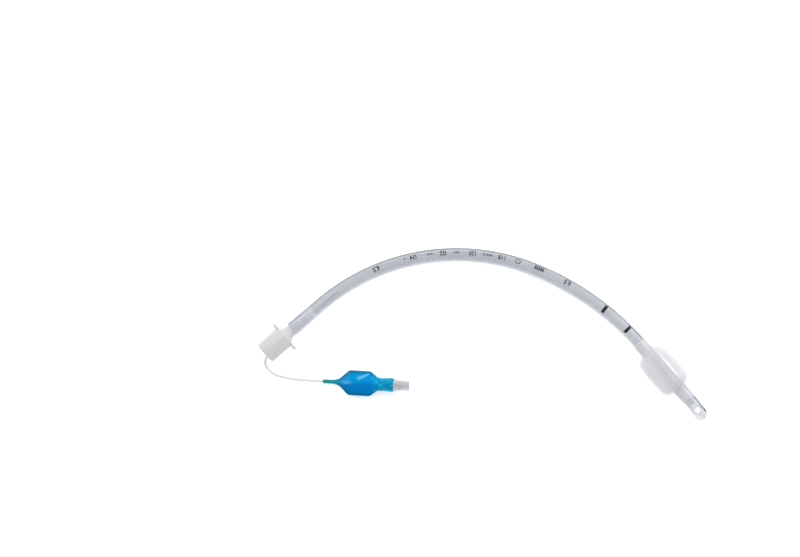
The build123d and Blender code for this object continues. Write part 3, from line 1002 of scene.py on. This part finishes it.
class BuildPrint(bpy.types.Operator):
    """Prints the depth numbers, the size, the bars and the rows of dashes on the tube."""

    bl_idname = "tracheal.print"
    bl_label = "Print"

    def execute(self, context):
        sizes = context.scene.tube_sizes
        bm = bmesh.new()
        # Distances along the tube and shifts to the outer curve are in millimetres
        for s in (278.6, 258.0):
            self.wrap(bm, sizes, self.bar(2.1, 6.1), s, 0.4)
        for s, words, height, bold, shift in (
            (227.4, "6.5", 3.5, 0.03, 1.5), (94.4, "6.5", 3.5, 0.03, 0.8),
            (179.6, "18", 3.1, 0.024, 1.0), (159.8, "20", 3.1, 0.024, 0.9),
            (140.2, "22", 3.1, 0.024, 0.9), (120.0, "24", 3.1, 0.024, 0.9),
        ):
            self.wrap(bm, sizes, self.words(words, height, bold), s, shift)
        for s in (182.4, 162.4, 142.4, 122.4):
            self.wrap(bm, sizes, self.bar(0.5, 3.1), s, 1.0)
        self.wrap(bm, sizes, self.ring(1.75, 1.3), 191.4, 1.3)
        # Rows of short dashes
        pitch = 1.4
        for s, length, dash, shift in (
            (206.4, 7.4, 1.0, 2.4), (206.4, 6.6, 1.0, 0.9), (170.6, 6.6, 0.65, 1.0),
            (149.8, 3.6, 0.65, 1.0), (131.8, 4.6, 0.65, 1.0), (114.6, 2.0, 0.65, 1.2),
        ):
            count = round(length / pitch)
            for i in range(count):
                along = s + pitch * (i - (count - 1) / 2)
                self.wrap(bm, sizes, self.bar(dash, 1.4), along, shift)
        ink = print_ink(context.scene.finishes.ink)
        piece("print", bm, ink, "clear_tube", matrix=rest_plane(sizes))
        return {"FINISHED"}

    def bar(self, long, wide):
        """A plain bar in millimetres, across the tube."""
        flat = bmesh.new()
        bmesh.ops.create_grid(
            flat, x_segments=2, y_segments=2, size=0.5, matrix=Matrix.Diagonal((long, wide, 1, 1)))
        return flat

    def ring(self, outside, inside):
        """A flat ring in millimetres, from its two radii."""
        flat = bmesh.new()
        ends = [bmesh.ops.create_vert(flat, co=(r, 0, 0))["vert"][0] for r in (outside, inside)]
        edge = flat.edges.new(ends)
        bmesh.ops.spin(
            flat, geom=[*ends, edge], cent=(0, 0, 0), axis=(0, 0, 1), angle=2 * pi, steps=40,
            use_merge=True, use_duplicate=False)
        return flat

    def words(self, text, height, bold):
        """Characters in millimetres, centred, reading along x, with their strokes widened."""
        curve = bpy.data.curves.new("words", "FONT")
        curve.body = text
        # The font's digits are 1 / 1.4 of its size high, and are made narrower below
        curve.size = height * 1.4
        curve.align_x = "CENTER"
        curve.align_y = "CENTER"
        curve.offset = bold * height
        holder = bpy.data.objects.new("words", curve)
        mesh = bpy.data.meshes.new_from_object(holder)
        flat = bmesh.new()
        flat.from_mesh(mesh)
        bmesh.ops.scale(flat, vec=(0.82, 1, 1), verts=flat.verts)
        bpy.data.objects.remove(holder)
        bpy.data.curves.remove(curve)
        bpy.data.meshes.remove(mesh)
        return flat

    def wrap(self, bm, sizes, flat, s, shift):
        """Lays a flat mark on the tube, shifted from the middle to the outer curve, in millimetres."""
        # Cuts every 0.35 mm let the mark bend around the tube
        for i in range(-10, 11):
            bmesh.ops.bisect_plane(
                flat, geom=flat.verts[:] + flat.edges[:] + flat.faces[:],
                plane_co=(0, i * 0.35, 0), plane_no=(0, 1, 0))
        # The ink lies 0.02 mm over the wall
        radius = sizes.diameter / 2 + 0.02 * MM
        middle = acos(shift * MM / radius)
        for v in flat.verts:
            along = station(sizes, (s - v.co.x) * MM)
            angle = middle + v.co.y * MM / radius
            v.co = along @ Vector((radius * cos(angle), radius * sin(angle), 0))
        mesh = mesh_of(flat, "mark")
        bm.from_mesh(mesh)
        bpy.data.meshes.remove(mesh)


class BuildStage(bpy.types.Operator):
    """Sets the pale floor, the soft lights and the camera."""

    bl_idname = "tracheal.stage"
    bl_label = "Stage"

    def execute(self, context):
        stage = context.scene.stage_sizes
        low, high = [Vector(c) for c in solid_box]
        middle = (low + high) / 2
        bm = bmesh.new()
        # Half a side of the floor is 6 m, so its edges stay far away
        bmesh.ops.create_grid(bm, x_segments=1, y_segments=1, size=6.0)
        floor = put_in_scene("floor", mesh_of(bm, "floor"))
        material = new_material("matt white paper, rolled out")
        shader = add_node(
            material, "ShaderNodeBsdfPrincipled",
            {
                "Base Color": linear("#FFFFFF"), "Roughness": 0.9, "Specular IOR Level": 0.0,
                "Emission Color": linear("#FFFFFF"), "Emission Strength": 0.28,
            })
        add_node(material, "ShaderNodeOutputMaterial", {"Surface": shader.outputs[0]})
        floor.data.materials.append(material)
        world = bpy.data.worlds.new("soft white room")
        world.use_nodes = True
        background = world.node_tree.nodes["Background"]
        background.inputs["Color"].default_value = (1, 1, 1, 1)
        background.inputs["Strength"].default_value = 0.85
        context.scene.world = world
        context.scene.view_settings.view_transform = "Standard"
        for name, place, power, size in (
            ("key light", (0.95, 0.85, 0.8), 6.0, 0.4),
            ("fill light", (-0.85, 0.85, 1.1), 6.0, 0.35),
        ):
            light = bpy.data.lights.new(name, "AREA")
            light.energy = power
            light.size = size
            holder = put_in_scene(name, light)
            holder.location = place
            holder.rotation_euler = (middle - Vector(place)).to_track_quat("-Z", "Y").to_euler()
        camera = bpy.data.cameras.new("camera")
        camera.sensor_fit = "HORIZONTAL"
        camera.sensor_width = 36.0
        axis_height = 9 * MM
        camera.lens = camera.sensor_width * (stage.camera_height - axis_height) / stage.view_width
        camera.clip_end = 100.0
        holder = put_in_scene("camera", camera)
        holder.location = (*stage.camera_over, stage.camera_height)
        context.scene.camera = holder
        return {"FINISHED"}


STEPS = (
    BuildStage, BuildTube, BuildStrand, BuildPrint, BuildCuff, BuildConnector, BuildPilotBalloon,
    BuildValve, BuildInflationLine,
)


class LooksPanel(bpy.types.Panel):
    """Lists the steps that build the looks."""

    bl_idname = "VIEW3D_PT_tracheal_tube"
    bl_label = "Tracheal tube"
    bl_space_type = "VIEW_3D"
    bl_region_type = "UI"
    bl_category = "Tracheal tube"

    def draw(self, context):
        for step in STEPS:
            self.layout.operator(step.bl_idname)


GROUPS = (("tube_sizes", TubeSizes), ("finishes", Finishes), ("stage_sizes", StageSizes))


def register():
    """Registers the sizes, the steps and the panel."""
    for name, group in GROUPS:
        bpy.utils.register_class(group)
        setattr(bpy.types.Scene, name, bpy.props.PointerProperty(type=group))
    for step in (*STEPS, LooksPanel):
        bpy.utils.register_class(step)


def unregister():
    """Takes back what register adds."""
    for step in reversed((*STEPS, LooksPanel)):
        bpy.utils.unregister_class(step)
    for name, group in reversed(GROUPS):
        delattr(bpy.types.Scene, name)
        bpy.utils.unregister_class(group)


def main():
    """Builds the looks in order."""
    register()
    for step in STEPS:
        family, name = step.bl_idname.split(".")
        getattr(getattr(bpy.ops, family), name)()
    bpy.context.view_layer.update()


if __name__ == "__main__":
    main()
